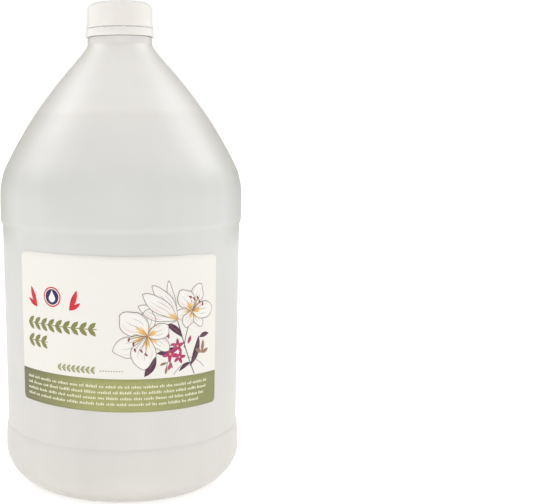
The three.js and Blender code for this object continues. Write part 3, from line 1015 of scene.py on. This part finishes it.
def cap_outline():
    """From the middle of the cap's underside, down the inside, round the foot and up over the top."""
    edge_r, edge_z = CAP_EDGE
    inside = [
        (0, CAP_UNDERSIDE_Z),
        (CAP_INNER_R - CAP_CORNER[0], CAP_UNDERSIDE_Z),
        (CAP_INNER_R, CAP_UNDERSIDE_Z - CAP_CORNER[1]),
        (CAP_INNER_R, CAP_BOTTOM_Z + CAP_LEAD_IN[1]),
        (CAP_INNER_R + CAP_LEAD_IN[0], CAP_BOTTOM_Z),
        (CAP_FLARE_R, CAP_BOTTOM_Z),
    ]
    flare = bezier(
        (CAP_FLARE_R, CAP_BOTTOM_Z + CAP_FLARE_STRAIGHT),
        (CAP_R, CAP_BOTTOM_Z + CAP_FLARE_BEND),
        (CAP_R, CAP_BOTTOM_Z + CAP_FLARE_END),
        steps=10,
    )
    turn = np.linspace(0, math.pi / 2, 19)
    edge = [
        (CAP_R - edge_r + edge_r * math.cos(t), CAP_TOP_Z - edge_z + edge_z * math.sin(t)) for t in turn
    ]
    return inside + flare + edge + [(0, CAP_TOP_Z)]


def cap_shell():
    """Smooth cap with its thread inside and a gate mark in the middle of its top."""

    def on_thread(before, here):
        return abs(before[0] - CAP_INNER_R) < 0.1 and abs(here[0] - CAP_INNER_R) < 0.1

    outline = split(soften(cap_outline(), 0.3), longest=1.6, fine=0.25, is_fine=on_thread)
    start_z = THREAD_START_Z + PITCH * (CAP_THREAD_LAG / (2 * math.pi) - 0.5)

    def relief(bearing, radius, z, row):
        ridge = thread_relief(bearing, z, start_z, CAP_THREAD_LAG, CAP_THREAD_TURNS)
        inside = (np.abs(radius - CAP_INNER_R) < 0.05) & (z > CAP_BOTTOM_Z + 0.7)
        on_top = z > CAP_TOP_Z - 0.02
        nub = swell(radius, GATE_HEIGHT, GATE_R)
        groove = swell(radius - GATE_GROOVE_R, GATE_GROOVE_DEPTH, GATE_GROOVE_WIDTH)
        return -ridge * inside, (nub - groove - GATE_HEIGHT) * on_top * (radius < GATE_DISH_R)

    return lathe("cap_shell", outline, CAP_PLASTIC, relief=relief)


def band_bearings():
    """Columns that follow the sides of each bridge, with even ones between."""
    pitch = 2 * math.pi / BRIDGES
    beside = np.array([-1.15, -1, -0.5, 0, 0.5, 1, 1.15]) * BRIDGE_HALF_ANGLE
    between = np.linspace(beside[-1], pitch + beside[0], 20)[1:-1]
    one = BRIDGE_BEARING + np.concatenate([beside, between])
    return np.sort(np.concatenate([(one + k * pitch) % (2 * math.pi) for k in range(BRIDGES)]))


def tamper_ring():
    """Break-off band, with the nine bridges that reach up to just under the cap."""
    outline = [
        (BAND_INNER_R, BAND_BOTTOM_Z),
        (BAND_BOTTOM_R, BAND_BOTTOM_Z),
        (BAND_BOTTOM_R, BAND_BOTTOM_Z + BAND_FOOT),
        (BAND_TOP_R, BAND_TOP_Z),
        (BAND_TOP_R - 0.04, BAND_TOP_Z + 0.01),
        (BAND_INNER_R + 0.12, BAND_TOP_Z + 0.01),
        (BAND_INNER_R, BAND_TOP_Z),
        (BAND_INNER_R, BAND_BOTTOM_Z + BAND_BEAD_TOP),
        (BAND_BEAD_R, BAND_BOTTOM_Z + BAND_BEAD_HIGH),
        (BAND_BEAD_R, BAND_BOTTOM_Z + BAND_BEAD_LOW),
    ]
    closed = soften(outline + outline[:2], 0.25)[1:-1]
    reach = CAP_BOTTOM_Z - 0.02 - BAND_TOP_Z

    def relief(bearing, radius, z, row):
        pitch = 2 * math.pi / BRIDGES
        from_bridge = np.abs((bearing - BRIDGE_BEARING + pitch / 2) % pitch - pitch / 2)
        bridge = np.clip((1.15 * BRIDGE_HALF_ANGLE - from_bridge) / (0.15 * BRIDGE_HALF_ANGLE), 0, 1)
        return 0 * z, reach * bridge * (z > BAND_TOP_Z + 0.005)

    return lathe("tamper_ring", closed, CAP_PLASTIC, band_bearings(), relief)


# ---------------------------------------------------------------- assembly

finish_piece(jug_wall(), "bottle", "milky_plastic", "bottle_body")
finish_piece(base_pinch_line(), "bottle", "milky_plastic")
finish_piece(oil_body(), "bottle", "oil", "oil_fill")
finish_piece(label_sheet(), "bottle", "label_film", "front_label")
for printed in printed_art():
    finish_piece(printed, "bottle", "label_film")
finish_piece(foil_disc(), "bottle", "foil", "foil_seal")
finish_piece(liner_disc(), "liner", "liner_foam", "cap_liner")
finish_piece(cap_shell(), "cap", "cap_plastic", "screw_cap")
finish_piece(tamper_ring(), "band", "cap_plastic", "tamper_band")

# ---------------------------------------------------------------- stage, light and camera

SHOULDER_POINT = Vector((0, 0, 0.2))
CAMERA_PLACE = (0, -0.6427, 0.2220)
CAMERA_TILT = math.radians(6.99)
CAMERA_ROLL = math.radians(0.36)
LENS = 68.2
LENS_SHIFT = 0.2741


def floor():
    """A plain pale floor, faintly lit from within, that runs out of sight."""
    shape = bmesh.new()
    bmesh.ops.create_circle(shape, cap_ends=True, segments=96, radius=60)
    mesh = bpy.data.meshes.new("floor")
    shape.to_mesh(mesh)
    shape.free()
    ground = bpy.data.objects.new("floor", mesh)
    bpy.context.scene.collection.objects.link(ground)
    finish = Finish("floor")
    tone = finish.blend(finish.noise(3, 2), srgb(222, 222, 222), srgb(225, 225, 225))
    white = (1, 1, 1, 1)
    shader = finish.surface(Base_Color=tone, Roughness=0.9, Emission_Color=white, Emission_Strength=0.45)
    mesh.materials.append(finish.done(shader))


def world():
    """White all round. The camera sees plain white; the light it gives is strongest overhead and weakest
    from the sides."""
    made = bpy.data.worlds.new("studio")
    bpy.context.scene.world = made
    made.use_nodes = True
    made.node_tree.nodes.clear()
    node = functools.partial(add_node, made.node_tree)
    white = (1, 1, 1, 1)
    direction = node("ShaderNodeTexCoord").outputs["Generated"]
    parts = node("ShaderNodeSeparateXYZ", {"Vector": direction}).outputs
    ranges = {"Value": parts["Z"], "From Min": 0.0, "From Max": 1.0, "To Min": 0.9, "To Max": 1.16}
    overhead = node("ShaderNodeMapRange", ranges).outputs["Result"]
    sideways = node("ShaderNodeMath", {0: parts["X"]}, operation="ABSOLUTE").outputs[0]
    ranges = {"Value": sideways, "From Min": 0.25, "From Max": 1.0, "To Min": 1.0, "To Max": 0.5}
    falling = node("ShaderNodeMapRange", ranges).outputs["Result"]
    strength = node("ShaderNodeMath", {0: overhead, 1: falling}, operation="MULTIPLY").outputs[0]
    light = node("ShaderNodeBackground", {"Color": white, "Strength": strength}).outputs["Background"]
    seen = node("ShaderNodeBackground", {"Color": white, "Strength": 1.0}).outputs["Background"]
    to_camera = node("ShaderNodeLightPath").outputs["Is Camera Ray"]
    either = node("ShaderNodeMixShader", {0: to_camera, 1: light, 2: seen}).outputs["Shader"]
    node("ShaderNodeOutputWorld", {"Surface": either})


def softbox(name, place, width, height, radiance):
    """A rectangular light aimed at the shoulder, hidden from the camera."""
    data = bpy.data.lights.new(name, "AREA")
    data.shape = "RECTANGLE"
    data.size, data.size_y = width, height
    data.energy = radiance * math.pi * width * height
    made = bpy.data.objects.new(name, data)
    made.location = place
    made.rotation_euler = (SHOULDER_POINT - Vector(place)).to_track_quat("-Z", "Y").to_euler()
    made.visible_camera = False
    bpy.context.scene.collection.objects.link(made)


def camera():
    """The photograph's viewing angle. The jug stands left of the middle by the lens shift, which applies
    only at this place, so that the jug is centred from any other."""
    data = bpy.data.cameras.new("camera")
    data.sensor_width = 36
    data.lens = LENS
    made = bpy.data.objects.new("camera", data)
    made.location = CAMERA_PLACE
    made.rotation_euler = (math.radians(90) - CAMERA_TILT, CAMERA_ROLL, 0)
    bpy.context.scene.collection.objects.link(made)
    bpy.context.scene.camera = made
    driver = data.driver_add("shift_x").driver
    away = driver.variables.new()
    away.name = "y"
    away.type = "TRANSFORMS"
    away.targets[0].id = made
    away.targets[0].transform_type = "LOC_Y"
    driver.expression = f"{LENS_SHIFT} if abs(y - {CAMERA_PLACE[1]}) < 0.001 else 0"


floor()
world()
softbox("left_softbox", (-0.9, 0.12, 1.02), 0.45, 0.75, 3.5)
softbox("right_softbox", (0.96, 0.22, 1.0), 0.45, 0.8, 3.6)
softbox("front_strip", (0, -1.1, 0.5), 0.12, 0.3, 4.0)
camera()
bpy.context.scene.view_settings.view_transform = "Standard"
